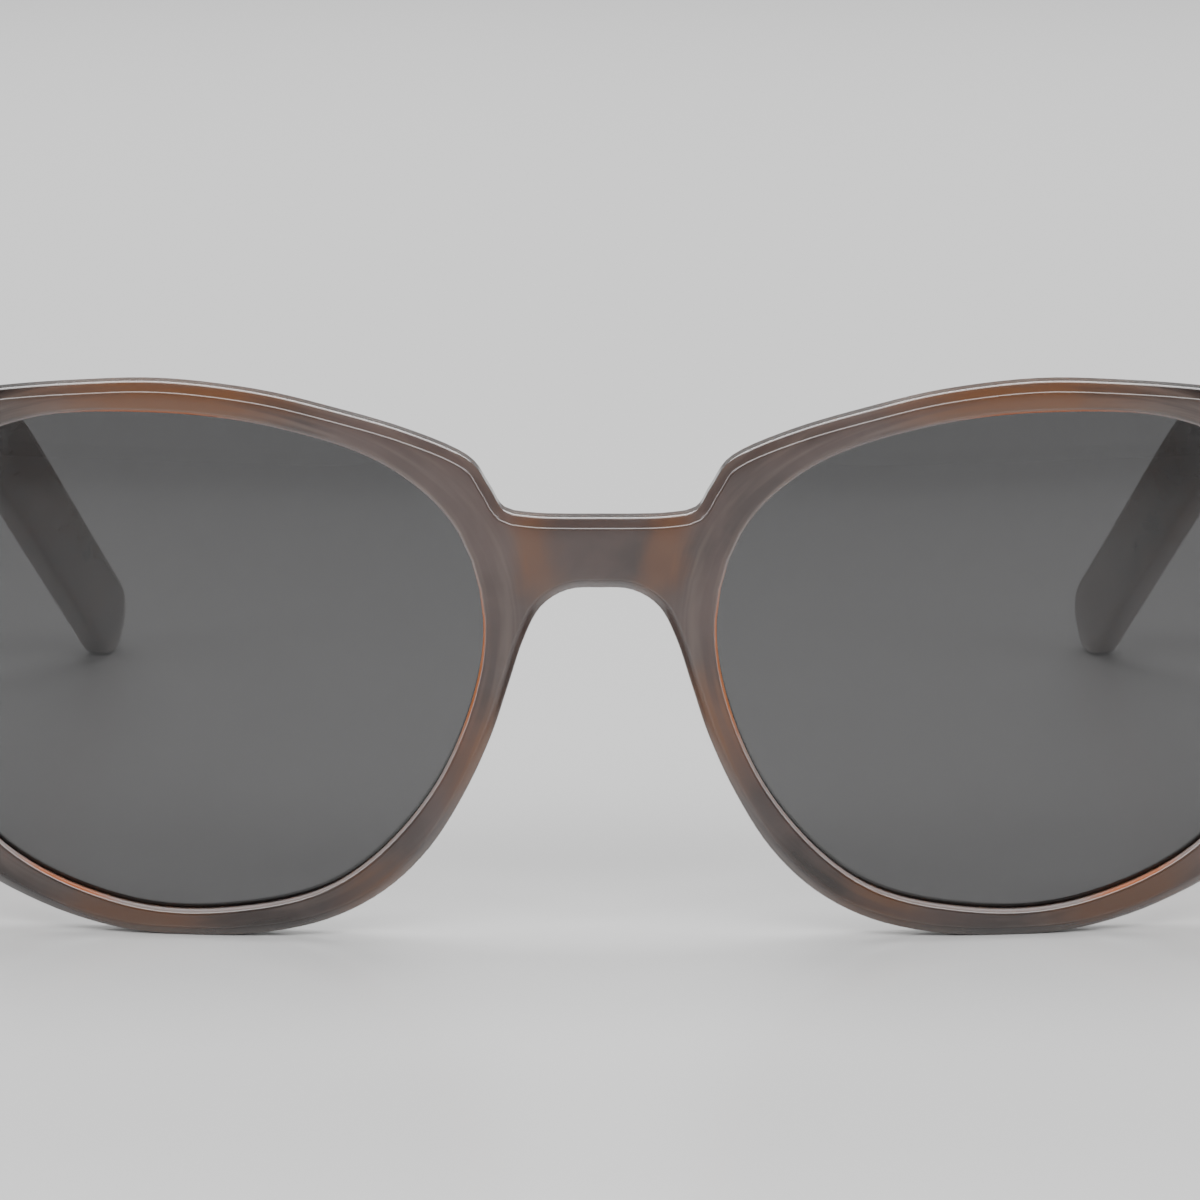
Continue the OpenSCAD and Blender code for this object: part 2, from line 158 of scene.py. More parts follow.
def spline(a, b, c, d, t):
    """A point between b and c on the smooth curve through a, b, c and d."""
    return (2 * b + (c - a) * t + (2 * a - 5 * b + 4 * c - d) * t * t
            + (3 * b - a - 3 * c + d) * t * t * t) / 2


def outline_at(t):
    """The place t points along half_outline, whose ends run on into their mirror image."""
    last = len(half_outline) - 1

    def point(i):
        inside = -i if i < 0 else 2 * last - i if i > last else i
        x, z = half_outline[inside]
        return Vector((x if inside == i else -x, 0, z)) * MM
    i = min(int(t), last - 1)
    return spline(point(i - 1), point(i), point(i + 1), point(i + 2), t - i)


def opening_at(t):
    """The place t points round lens_opening."""
    i = int(t)
    near = [lens_opening[(i + k) % len(lens_opening)] for k in (-1, 0, 1, 2)]
    return spline(*(Vector((x, 0, z)) * MM for x, z in near), t - i)


opening_points = [opening_at(k / 16) - lens_c for k in range(16 * len(lens_opening))]
opening_polar = sorted((math.atan2(p.z, p.x), p.length) for p in opening_points)
opening_angles = [a for a, _ in opening_polar]


def opening_reach(direction):
    """Distance from the lens centre to the edge of the opening, in this direction."""
    angle = math.atan2(direction.z, direction.x)
    k = bisect.bisect(opening_angles, angle) % len(opening_polar)
    (a0, r0), (a1, r1) = opening_polar[k - 1], opening_polar[k]
    span = (a1 - a0) % (2 * math.pi)
    return r0 + (r1 - r0) * ((angle - a0) % (2 * math.pi)) / span


def wrapped(x):
    """How far back the front face lies at this distance from the middle."""
    return wrap_r - math.sqrt(wrap_r * wrap_r - x * x)


def ease(a, b, value):
    t = min(1, max(0, (value - a) / (b - a)))
    return t * t * (3 - 2 * t)


lens_r = 240 * MM
lens_t = 1.6 * MM
lens_crown = 0.15 * MM                    # how far the lens's middle lies behind the face


def lens_surface(x, z, radius):
    """How far back a lens surface of this radius lies, for a point on either side."""
    to_axis = Vector((lens_c.x / wrap_r, -math.sqrt(1 - (lens_c.x / wrap_r) ** 2)))
    middle = Vector((0, wrap_r)) + (wrap_r - lens_crown - lens_r) * to_axis
    return middle.y - math.sqrt(radius ** 2 - (abs(x) - middle.x) ** 2 - (z - lens_c.z) ** 2)


def extruded(bm, edges):
    """Extrudes edges where they are; returns the new vertices and the new edges alone."""
    made = bmesh.ops.extrude_edge_only(bm, edges=edges)["geom"]
    points = [g for g in made if isinstance(g, bmesh.types.BMVert)]
    inside = set(points)
    return points, [g for g in made if isinstance(g, bmesh.types.BMEdge) and set(g.verts) <= inside]


bm = bmesh.new()
ring_steps = round((bridge_foot - bridge_top) / point_step)
ring_points = [outline_at(bridge_top + k * point_step) for k in range(ring_steps + 1)]
root = [ring_points[-1].lerp(ring_points[0], k / 3) for k in range(1, 3)]
ring = [bm.verts.new(p) for p in ring_points + root]
ring_edges = [bm.edges.new((ring[k - 1], ring[k])) for k in range(len(ring))]
root_verts = set(ring[len(ring_points) - 1:] + [ring[0]])
root_edges = [e for e in ring_edges if set(e.verts) <= root_verts]

# The rim grows inward from the outline, ring by ring, until it reaches the opening
edges = ring_edges
for share in ring_shares:
    points, edges = extruded(bm, edges)
    for v in points:
        ray = v.co - lens_c
        v.co = lens_c + ray.normalized() * (ray.length + (opening_reach(ray) - ray.length) * share)
# The bridge grows from the rim to the middle, column by column
edges = root_edges
low, high = ring_points[-1], ring_points[0]
last = len(half_outline) - 1
for k in range(1, bridge_columns + 1):
    next_low = outline_at(bridge_foot + (last - bridge_foot) * k / bridge_columns)
    next_high = outline_at(bridge_top * (1 - k / bridge_columns))
    points, edges = extruded(bm, edges)
    for v in points:
        v.co = next_low.lerp(next_high, (v.co.z - low.z) / (high.z - low.z))
    low, high = next_low, next_high
bmesh.ops.mirror(bm, geom=bm.verts[:] + bm.edges[:] + bm.faces[:], axis="X", merge_dist=1e-6)
bmesh.ops.remove_doubles(bm, verts=bm.verts[:], dist=1e-6)
bmesh.ops.recalc_face_normals(bm, faces=bm.faces[:])

front_edges = [e for e in bm.edges if e.is_boundary]


def side_centre(x):
    return Vector((math.copysign(lens_c.x, x), 0, lens_c.z))


def from_centre(v):
    """The way to a point from the centre of its lens, as seen from the front, on the wearer's left."""
    return Vector((abs(v.co.x) - lens_c.x, 0, v.co.z - lens_c.z))


def opening_gap(v):
    """How far outside the edge of its opening a point lies."""
    ray = from_centre(v)
    return ray.length - opening_reach(ray)


def at_opening(v):
    return abs(opening_gap(v)) < 0.02 * MM


opening_front = [e for e in front_edges if at_opening(e.verts[0]) and at_opening(e.verts[1])]
outside_front = [e for e in front_edges if e not in set(opening_front)]
copy = bmesh.ops.duplicate(bm, geom=bm.verts[:] + bm.edges[:] + bm.faces[:])["geom"]
bmesh.ops.translate(bm, verts=[g for g in copy if isinstance(g, bmesh.types.BMVert)], vec=(0, rim_t, 0))
edges = outside_front
for depth in (0.3, 0.4, 0.3):
    points, edges = extruded(bm, edges)
    bmesh.ops.translate(bm, verts=points, vec=(0, rim_t * depth, 0))
# The opening's wall goes back, out into the groove, back, in again and back
edges = opening_front
groove = {"front": [], "back": []}
for depth, out, lip in ((0.25, 0, "front"), (0, groove_d, "front"), (0.4, 0, "back"),
                        (0, -groove_d, "back"), (0.35, 0, None)):
    points, edges = extruded(bm, edges)
    for v in points:
        ray = v.co - side_centre(v.co.x)
        ray.y = 0
        v.co += ray.normalized() * out + Vector((0, rim_t * depth, 0))
    if lip:
        groove[lip] += points
bmesh.ops.remove_doubles(bm, verts=bm.verts[:], dist=1e-6)
bmesh.ops.recalc_face_normals(bm, faces=bm.faces[:])


def cut_back(bm, edges, width, segments):
    """Cuts sharp edges back by this width: one segment is a flat chamfer, more are round."""
    bmesh.ops.bevel(bm, geom=edges, affect="EDGES", offset=width, offset_type="OFFSET", segments=segments,
                    profile=0.5, material=-1, clamp_overlap=True)


def corner_edges(y, at_edge):
    """The sharp edges round the face at this depth, of the openings or of the outside."""
    return [e for e in bm.edges if all(abs(v.co.y - y) < 1e-7 for v in e.verts)
            and e.calc_face_angle(0) > 1 and all(at_opening(v) == at_edge for v in e.verts)]


# The outside is chamfered flat and the openings are rounded, then the chamfers' crests are too
for y, width in zip((0, rim_t), outside_cuts):
    cut_back(bm, corner_edges(y, False), width, 1)
for y, width in zip((0, rim_t), opening_cuts):
    cut_back(bm, corner_edges(y, True), width, 4)
crests = [e for e in bm.edges if math.radians(30) < e.calc_face_angle(0) < math.radians(60)
          and all(abs(opening_gap(v)) >= 0.5 * MM for v in e.verts)]
cut_back(bm, crests, crest_round, 4)
groove_front = {v for v in groove["front"] if v.is_valid}
groove_back = {v for v in groove["back"] if v.is_valid}
for v in bm.verts:
    x, depth, z = v.co
    back = wrapped(x) + depth
    thicker = max(0, end_back - face_y - wrapped(x) - rim_t)
    zone = ease(end_x, end_x + end_rise_x, abs(x)) * ease(end_z, end_z + end_rise_z, z)
    back += thicker * zone * max(0, depth / rim_t * 2 - 1)
    if v in groove_front:
        back = lens_surface(x, z, lens_r) - 0.05 * MM
    if v in groove_back:
        back = lens_surface(x, z, lens_r - lens_t) + 0.05 * MM
    v.co.y = face_y + min(back, end_back - face_y)
front = new_object("rims", bm, 38)
# The lip attribute holds painted light: a thin painted highlight and a painted orange glow along each
# opening's front edge
lip_painted_light = front.data.attributes.new("lip", "FLOAT_COLOR", "POINT")
rim_place = front.data.attributes.new("rim_place", "FLOAT_VECTOR", "POINT")
painted_lip_width, painted_lip_depth = 0.2 * MM, 0.5 * MM
lip_painted_highlight, lip_painted_glow = Vector((0.16, 0.135, 0.13)), Vector((0.26, 0.08, 0.03))
streak_r, streak_reach = 30 * MM, 4.5 * MM
for v, tint, place in zip(front.data.vertices, lip_painted_light.data, rim_place.data):
    ray = from_centre(v)
    gap = opening_gap(v)
    angle = math.degrees(math.atan2(ray.z, ray.x))
    # Painted light on the lip: a painted orange glow beside the nose and above the middle of the lens, and a
    # pale painted highlight elsewhere
    painted_glow_share = max(ease(160, 172, abs(angle)), ease(24, 8, abs(angle - 84)), ease(14, 5, abs(angle + 62)))
    in_painted_lip = abs(gap) < painted_lip_width and v.co.y < face_y + wrapped(v.co.x) + painted_lip_depth
    tint.color = (*lip_painted_highlight.lerp(lip_painted_glow, painted_glow_share), 1.0 if in_painted_lip else 0.0)
    place.vector = (*(ray.normalized() * streak_r).xz, min(gap, streak_reach))
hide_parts("front_frame")
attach(front, "front")

amber = (0.087, 0.038, 0.018, 1)
mauve = (0.045, 0.031, 0.028, 1)
umber = (0.014, 0.009, 0.0075, 1)
honey = (0.105, 0.08, 0.068, 1)
pearl = (0.27, 0.225, 0.21, 1)
# Patches pressed into the sheet: distance to the wearer's left, height, half length, half width, and
# lean of the length in degrees
amber_patches = [
    (36, 47.4, 9, 3.4, 2), (-36.5, 47.4, 10, 3.2, -2), (5.4, 33.8, 5, 1.7, 70), (-5.5, 33.8, 5, 1.9, 110),
    (10.2, 18.5, 5, 2.1, 114), (-11, 16.4, 5, 2, 66), (23.5, 2.8, 5.6, 2.7, -20), (46, 2.8, 7.5, 3.2, 20),
    (-19.5, 4.2, 4.6, 2, 36), (-40, 1.4, 8, 2.4, -3), (64, 39, 6, 3.4, 100), (-65, 40, 5, 3.4, 80),
    (62.5, 21, 5.5, 2.6, 68), (-60, 14, 5, 2.6, -58)]
umber_patches = [
    (51.5, 47, 8, 3.6, -8), (-53, 46.8, 8, 3.6, 8), (17.6, 6.2, 4.2, 1.5, 140), (-28.5, 0.9, 6, 1.7, -4),
    (36, 0.7, 6, 1.5, 0), (58.5, 11, 5, 2.4, 52), (-63, 27, 5, 2.6, 82), (68, 34, 3, 4, 90),
    (-52, 5, 5, 2, -36)]
tip_amber = [(-50, 15, 9, 2.2, 109)]
tip_umber = [(54.2, 16, 10, 1.5, 73)]
patch_wander = 5
# Height below which painted shade darkens the front towards its foot
foot_shade_height = 26 * MM
tips_from, tips_to = 12 * MM, 58 * MM


def mottle_group():
    """Colour of the acetate sheet at a point: cloudy mauve with amber and umber patches and fine streaks, and
    painted shade at the front's foot.
    """
    group = bpy.data.node_groups.new("acetate_mottle", "ShaderNodeTree")
    group.interface.new_socket("Clear", in_out="INPUT", socket_type="NodeSocketFloat").default_value = 0
    group.interface.new_socket("Streak Place", in_out="INPUT", socket_type="NodeSocketVector")
    group.interface.new_socket("Color", in_out="OUTPUT", socket_type="NodeSocketColor")
    group.interface.new_socket("Cloud", in_out="OUTPUT", socket_type="NodeSocketFloat")
    nodes, links = group.nodes, group.links
    inputs = nodes.new("NodeGroupInput")
    outputs = nodes.new("NodeGroupOutput")
    place = nodes.new("ShaderNodeTexCoord").outputs["Object"]
    split = nodes.new("ShaderNodeSeparateXYZ")
    links.new(place, split.inputs[0])

    def noise(scale, detail, stretch, distortion=0.0, lean=0):
        mapping = nodes.new("ShaderNodeMapping")
        mapping.inputs["Scale"].default_value = stretch
        mapping.inputs["Rotation"].default_value = (0, math.radians(lean), 0)
        links.new(place, mapping.inputs["Vector"])
        texture = nodes.new("ShaderNodeTexNoise")
        texture.inputs["Scale"].default_value = scale
        texture.inputs["Detail"].default_value = detail
        texture.inputs["Distortion"].default_value = distortion
        links.new(mapping.outputs[0], texture.inputs["Vector"])
        return texture

    def ranged(value, low, high, to_low=0.0, to_high=1.0):
        node = nodes.new("ShaderNodeMapRange")
        node.interpolation_type = "SMOOTHSTEP"
        links.new(value, node.inputs["Value"])
        for socket, number in zip(("From Min", "From Max", "To Min", "To Max"), (low, high, to_low, to_high)):
            node.inputs[socket].default_value = number
        return node.outputs["Result"]

    def combined(kind, a, b):
        node = nodes.new("ShaderNodeMath")
        node.operation = kind
        for socket, value in zip(node.inputs, (a, b)):
            if isinstance(value, (int, float)):
                socket.default_value = value
            else:
                links.new(value, socket)
        return node.outputs[0]

    def mixed(fac, a, b):
        node = nodes.new("ShaderNodeMix")
        node.data_type = "RGBA"
        links.new(fac, node.inputs["Factor"])
        colours = [socket for socket in node.inputs if socket.type == "RGBA"]
        for socket, value in zip(colours, (a, b)):
            if isinstance(value, tuple):
                socket.default_value = value
            else:
                links.new(value, socket)
        return next(socket for socket in node.outputs if socket.type == "RGBA")

    # The patches' edges wander, because the colours were pressed together warm
    push = nodes.new("ShaderNodeVectorMath")
    push.operation = "MULTIPLY_ADD"
    links.new(noise(150, 4, (1, 1, 1), 0.5).outputs["Color"], push.inputs[0])
    push.inputs[1].default_value = (patch_wander * MM, 0, patch_wander * MM)
    links.new(place, push.inputs[2])
    flat = nodes.new("ShaderNodeVectorMath")
    flat.operation = "MULTIPLY"
    flat.inputs[1].default_value = (1, 0, 1)
    links.new(push.outputs[0], flat.inputs[0])

    def patches(places):
        """1 in the middle of each patch and 0 away from them all."""
        total = None
        for x, z, half_length, half_width, lean in places:
            fit = nodes.new("ShaderNodeMapping")
            fit.vector_type = "TEXTURE"
            middle = (x + patch_wander / 2, 0, z + patch_wander / 2)
            fit.inputs["Location"].default_value = Vector(middle) * MM
            fit.inputs["Rotation"].default_value = (0, -math.radians(lean), 0)
            fit.inputs["Scale"].default_value = (half_length * MM, 1, half_width * MM)
            links.new(flat.outputs[0], fit.inputs["Vector"])
            reach = nodes.new("ShaderNodeVectorMath")
            reach.operation = "LENGTH"
            links.new(fit.outputs[0], reach.inputs[0])
            patch = ranged(reach.outputs["Value"], 0.2, 1.6, 1, 0)
            total = patch if total is None else combined("MAXIMUM", total, patch)
        return total

    on_front = ranged(split.outputs["Y"], face_y + 10 * MM, face_y + 16 * MM, 1, 0)
    behind = combined("SUBTRACT", 1, on_front)

    def mask(front_patches, tip_patches, cloud, low, high):
        """The patches placed on the front, and behind it loose clouds with those placed on the tips."""
        loose = combined("MAXIMUM", ranged(cloud.outputs["Fac"], low, high), patches(tip_patches))
        return combined("ADD", combined("MULTIPLY", patches(front_patches), on_front),
                        combined("MULTIPLY", loose, behind))

    amber_mask = mask(amber_patches, tip_amber, noise(30, 3, (1, 0.4, 1), 1.2), 0.48, 0.64)
    umber_mask = mask(umber_patches, tip_umber, noise(24, 3, (1, 0.35, 1.2), 0.8), 0.5, 0.68)
    streak = nodes.new("ShaderNodeTexNoise")
    streak.inputs["Scale"].default_value = 330
    streak.inputs["Detail"].default_value = 3
    streak.inputs["Distortion"].default_value = 0.6
    links.new(inputs.outputs["Streak Place"], streak.inputs["Vector"])
    streaks = ranged(streak.outputs["Fac"], 0.3, 0.7, -0.45, 0.45)
    amber_mask = combined("MULTIPLY", amber_mask, combined("ADD", 0.8, streaks))
    umber_mask = combined("MULTIPLY", umber_mask, combined("SUBTRACT", 0.72, streaks))

    cloud = noise(80, 5, (1, 0.6, 1), 0.7, -30)
    cloudy = ranged(cloud.outputs["Fac"], 0.3, 0.7)
    dark, light = [tuple(c * change for c in mauve[:3]) + (1,) for change in (0.68, 1.3)]
    base = mixed(cloudy, dark, light)
    base = mixed(ranged(streak.outputs["Fac"], 0.42, 0.75, 0, 0.6), base, honey)
    colour = mixed(amber_mask, base, amber)
    colour = mixed(umber_mask, colour, umber)
    # The temples are cut so that they grow lighter towards their tips; painted shade darkens the front's foot
    marked = combined("MULTIPLY", combined("MAXIMUM", amber_mask, umber_mask), 0.7)
    paler = combined("MULTIPLY", ranged(split.outputs["Y"], tips_from, tips_to, 0, 0.7),
                     combined("SUBTRACT", 1, marked))
    tips = combined("ADD", inputs.outputs["Clear"], paler)
    # Painted shade: the front is mixed towards umber near its bottom, where the lamps above light it less
    foot = combined("MULTIPLY", ranged(split.outputs["Z"], 0, foot_shade_height, 0.42, 0), on_front)
    colour = mixed(foot, colour, umber)
    links.new(mixed(tips, colour, pearl), outputs.inputs["Color"])
    links.new(cloudy, outputs.inputs["Cloud"])
    return group


mottle = mottle_group()


def acetate(name, clear=0.0, rim=False):
    """Polished cellulose acetate: a mottled sheet under a hard gloss, which lets some light through.

    On the rims, the mesh's attributes turn the streaks round the lenses and paint light on the lip: a painted
    highlight and a painted orange glow."""
    material, node = shader(name, IOR=1.48, Subsurface_Weight=0.3, Subsurface_Scale=1.5 * MM,
                            Coat_Weight=0.4, Coat_Roughness=0.03, Coat_IOR=1.5)
    node.inputs["Subsurface Radius"].default_value = (1.6, 1.0, 0.7)
    nodes, links = material.node_tree.nodes, material.node_tree.links
    sheet = nodes.new("ShaderNodeGroup")
    sheet.node_tree = mottle
    sheet.inputs["Clear"].default_value = clear
    colour = sheet.outputs["Color"]
    place = nodes.new("ShaderNodeMapping")
    links.new(place.outputs[0], sheet.inputs["Streak Place"])
    if rim:
        around = nodes.new("ShaderNodeAttribute")
        around.attribute_name = "rim_place"
        links.new(around.outputs["Vector"], place.inputs["Vector"])
        place.inputs["Scale"].default_value = (0.12, 0.12, 2.2)
        # The lip attribute mixes painted light into the colour: a painted highlight and a painted orange glow
        # along the openings
        lip = nodes.new("ShaderNodeAttribute")
        lip.attribute_name = "lip"
        lip_light_mix = nodes.new("ShaderNodeMix")
        lip_light_mix.data_type = "RGBA"
        sockets = [socket for socket in lip_light_mix.inputs if socket.type == "RGBA"]
        links.new(lip.outputs["Alpha"], lip_light_mix.inputs["Factor"])
        links.new(colour, sockets[0])
        links.new(lip.outputs["Color"], sockets[1])
        colour = next(socket for socket in lip_light_mix.outputs if socket.type == "RGBA")
    else:
        links.new(nodes.new("ShaderNodeTexCoord").outputs["Object"], place.inputs["Vector"])
        place.inputs["Scale"].default_value = (1.6, 0.12, 1.6)
    links.new(colour, node.inputs["Base Color"])
    rough = nodes.new("ShaderNodeMapRange")
    links.new(sheet.outputs["Cloud"], rough.inputs["Value"])
    rough.inputs["To Min"].default_value = 0.09
    rough.inputs["To Max"].default_value = 0.17
    links.new(rough.outputs["Result"], node.inputs["Roughness"])
    # Hand polishing leaves the surface very slightly wavy
    wave = nodes.new("ShaderNodeTexNoise")
    wave.inputs["Scale"].default_value = 160
    links.new(nodes.new("ShaderNodeTexCoord").outputs["Object"], wave.inputs["Vector"])
    bump = nodes.new("ShaderNodeBump")
    bump.inputs["Strength"].default_value = 0.25
    bump.inputs["Distance"].default_value = 0.06 * MM
    links.new(wave.outputs["Fac"], bump.inputs["Height"])
    links.new(bump.outputs["Normal"], node.inputs["Normal"])
    return material


front_acetate = acetate("front_acetate", rim=True)
front.data.materials.append(front_acetate)

# ---- Lenses ----
# Each lens is a moulded disc of light smoke plastic, ground to the opening's outline and
# sprung into the groove. An anti-glare coat keeps its reflection faint.
lens_rim = 0.8 * MM                       # how far the lens reaches into the groove
lens_material, lens_node = shader("smoke_lens", Base_Color=(0.1, 0.1, 0.101, 1), Roughness=0.0, IOR=1.5,
                                  Transmission_Weight=1.0, Specular_IOR_Level=0.3)
# Lamps shine through the lens, dimmed, onto what is behind it
lens_nodes, lens_links = lens_material.node_tree.nodes, lens_material.node_tree.links
ray_kind = lens_nodes.new("ShaderNodeLightPath")
dimmed = lens_nodes.new("ShaderNodeBsdfTransparent")
dimmed.inputs["Color"].default_value = grey(0.6)
lets_through = lens_nodes.new("ShaderNodeMixShader")
lens_links.new(ray_kind.outputs["Is Shadow Ray"], lets_through.inputs["Fac"])
lens_links.new(lens_node.outputs[0], lets_through.inputs[1])
lens_links.new(dimmed.outputs[0], lets_through.inputs[2])
lens_links.new(lets_through.outputs[0], lens_nodes["Material Output"].inputs["Surface"])
for side, sign in (("left", 1), ("right", -1)):
    bm = bmesh.new()
    spoke = [bm.verts.new((k / 12, 0, 0)) for k in range(13)]
    spoke_edges = [bm.edges.new(pair) for pair in zip(spoke, spoke[1:])]
    bmesh.ops.spin(bm, geom=spoke + spoke_edges, cent=(0, 0, 0), axis=(0, 1, 0), angle=2 * math.pi, steps=128,
                   use_merge=True)
    bmesh.ops.remove_doubles(bm, verts=bm.verts[:], dist=1e-5)
    surfaces = bmesh.ops.duplicate(bm, geom=bm.verts[:] + bm.edges[:] + bm.faces[:])["geom"]
    back_verts = {g for g in surfaces if isinstance(g, bmesh.types.BMVert)}
    for v in bm.verts:
        share = v.co.length
        ray = v.co.normalized() if share > 1e-6 else Vector((1, 0, 0))
        x, _, z = lens_c + ray * share * (opening_reach(ray) + lens_rim)
        radius = lens_r - lens_t if v in back_verts else lens_r
        v.co = (sign * x, face_y + lens_surface(x, z, radius), z)
    bmesh.ops.bridge_loops(bm, edges=[e for e in bm.edges if e.is_boundary])
    bmesh.ops.recalc_face_normals(bm, faces=bm.faces[:])
    lens = new_object(f"smoke_lens_{side}", bm, 40)
    lens.data.materials.append(lens_material)
    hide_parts(f"lens_{side}")
    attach(lens, "front")

# ---- Nose pads ----
# Two small fins of clearer acetate, cemented behind the rims beside the nose and polished into
# them. They run straight back from the rims.
pad_half = (1.25 * MM, 5.2 * MM, 7 * MM)
pad_z = 20.6 * MM
pad_x, pad_lean, pad_curve, pad_splay = 9.55, 0.33, 0.012, 0.1
pad_gap = 0.12 * MM
pad_acetate = acetate("pad_acetate", 0.45)
for side, sign in (("left", 1), ("right", -1)):
    bm = bmesh.new()
    bmesh.ops.create_uvsphere(bm, u_segments=64, v_segments=32, radius=1)
    for v in bm.verts:
        a, b, c = v.co
        z = pad_z + c * pad_half[2]
        depth = rim_t + b * pad_half[1]
        rise = (z - pad_z) / MM
        wall = (pad_x - pad_lean * rise + pad_curve * rise * rise) * MM
        splay = pad_splay * (depth - rim_t)
        v.co = (sign * (wall + splay + a * pad_half[0]), face_y + depth, z)
    bmesh.ops.bisect_plane(bm, geom=bm.verts[:] + bm.edges[:] + bm.faces[:], clear_inner=True,
                           plane_co=(0, face_y + rim_t + pad_gap, 0), plane_no=(0, 1, 0))
    bmesh.ops.holes_fill(bm, edges=[e for e in bm.edges if e.is_boundary])
    bmesh.ops.recalc_face_normals(bm, faces=bm.faces[:])
    pad = new_object(f"nose_fin_{side}", bm, 50)
    pad.data.materials.append(pad_acetate)
    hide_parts(f"nose_pad_{side}")
    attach(pad, "front")

# ---- Temple housings ----
# Each temple is a moulded acetate shell: a hollow shaft for the electronics, a neck that bends
# over the ear and a solid paddle at the tip, all polished. The inner side is open for its cover.
half_w = 69.5
end_y = (front_high.y - face_y) / MM
hinge_z = 38
housing_t, tip_t = 6.4, 3.3
root_h, neck_h, tip_h = 12.4, 8.4, 8
shaft_l, bend_r = 74.6, 40
shaft_slope, tip_slope, tip_yaw = math.radians(5.5), math.radians(38), math.radians(16)
root_y = end_y + 0.3
temple_x = half_w - housing_t / 2 - 0.1
bend_l = bend_r * (tip_slope - shaft_slope)
tip_s = shaft_l + bend_l
bend_start = Vector((root_y + shaft_l * math.cos(shaft_slope), hinge_z - shaft_l * math.sin(shaft_slope)))
bend_c = bend_start - bend_r * Vector((math.sin(shaft_slope), math.cos(shaft_slope)))
bend_end = bend_c + bend_r * Vector((math.sin(tip_slope), math.cos(tip_slope)))
end_s = tip_s + (bend_end.y - tip_h / 2) / math.sin(tip_slope)
turn_from, turn_to = 52, 100
turn_r = (turn_to - turn_from) / math.sin(tip_yaw)


def pitch(s):
    return shaft_slope + min(max(0, s - shaft_l) / bend_r, tip_slope - shaft_slope)


def side_at(s):
    """Distance back and height of the temple's centre line, s along it."""
    if s < shaft_l:
        return Vector((root_y, hinge_z)) + s * Vector((math.cos(shaft_slope), -math.sin(shaft_slope)))
    if s < tip_s:
        return bend_c + bend_r * Vector((math.sin(pitch(s)), math.cos(pitch(s))))
    return bend_end + (s - tip_s) * Vector((math.cos(tip_slope), -math.sin(tip_slope)))


def yaw(y):
    return math.asin(min(max(0, y - turn_from), turn_to - turn_from) / turn_r)


def centre_x(y):
    return temple_x - turn_r * (1 - math.cos(yaw(y))) - max(0, y - turn_to) * math.tan(tip_yaw)


def end_round(s):
    return 1 if s <= end_s else math.sqrt(max(0, 1 - ((s - end_s) / (tip_h / 2)) ** 2))


def height(s):
    return (root_h + (neck_h - root_h) * ease(64, 92, s) + (tip_h - neck_h) * ease(98, 122, s)) * end_round(s)


def thickness(s):
    return (housing_t + (tip_t - housing_t) * ease(70, 94, s)) * (0.55 + 0.45 * end_round(s))


def on_temple(sign, s, out, up):
    """A point beside the temple's centre line: out from the head and up, in metres in the row frame."""
    place = side_at(s) + up * Vector((math.sin(pitch(s)), math.cos(pitch(s))))
    x = centre_x(place.x) + out * math.cos(yaw(place.x))
    y = place.x + out * math.sin(yaw(place.x))
    return Vector((sign * x * MM, face_y + y * MM, place.y * MM))


def loft(sign, stations, section, squareness=4.5, segments=40):
    """A closed bar along the temple; section(s) gives its inner and outer face and its foot and top."""
    bm = bmesh.new()
    circle = bmesh.ops.create_circle(bm, segments=segments, radius=1)["verts"]
    shape = [(math.copysign(abs(v.co.x) ** (2 / squareness), v.co.x),
              math.copysign(abs(v.co.y) ** (2 / squareness), v.co.y)) for v in circle]
    edges = bm.edges[:]
    bmesh.ops.contextual_create(bm, geom=circle + edges)
    ordered = list(circle)
    for k, s in enumerate(stations):
        if k:
            points, edges = extruded(bm, edges)
            by_place = {tuple(round(c, 9) for c in v.co): v for v in points}
            ordered = [by_place[tuple(round(c, 9) for c in v.co)] for v in ordered]
        inner, outer, foot, top = section(s)
        for v, (a, b) in zip(ordered, shape):
            out = (inner + outer) / 2 + a * (outer - inner) / 2
            v.co = on_temple(sign, s, out, (foot + top) / 2 + b * (top - foot) / 2)
    bmesh.ops.contextual_create(bm, geom=edges)
    bmesh.ops.recalc_face_normals(bm, faces=bm.faces[:])
    return bm


def seat(sign, s):
    """Carries a shape in millimetres to its place s along a temple: x out from the head, y back."""
    place = side_at(s)
    turn = Matrix.Rotation(yaw(place.x), 4, "Z") @ Matrix.Rotation(-pitch(s), 4, "X")
    row = Matrix.Translation((0, face_y, 0)) @ Matrix.Diagonal((sign * MM, MM, MM, 1))
    return row @ Matrix.Translation((centre_x(place.x), place.x, place.y)) @ turn


def round_off(bm, edges, rounding, segments, before, slot):
    """Rounds a new shape's edges and gives its material to all faces that weren't there before."""
    if rounding:
        cut_back(bm, list(edges), rounding, segments)
    for face in bm.faces:
        if face not in before:
            face.material_index = slot


def put_block(bm, size, centre, rounding=0.0, slot=0, segments=2, upright=False):
    """Adds a box with rounded edges, or with only its upright edges rounded."""
    before = set(bm.faces)
    place = Matrix.Translation(centre) @ Matrix.Diagonal((*size, 1))
    made = bmesh.ops.create_cube(bm, size=1, matrix=place)["verts"]
    edges = {e for v in made for e in v.link_edges}
    if upright:
        edges = {e for e in edges if abs(e.verts[0].co.z - e.verts[1].co.z) > size[2] / 2}
    round_off(bm, edges, rounding, segments, before, slot)


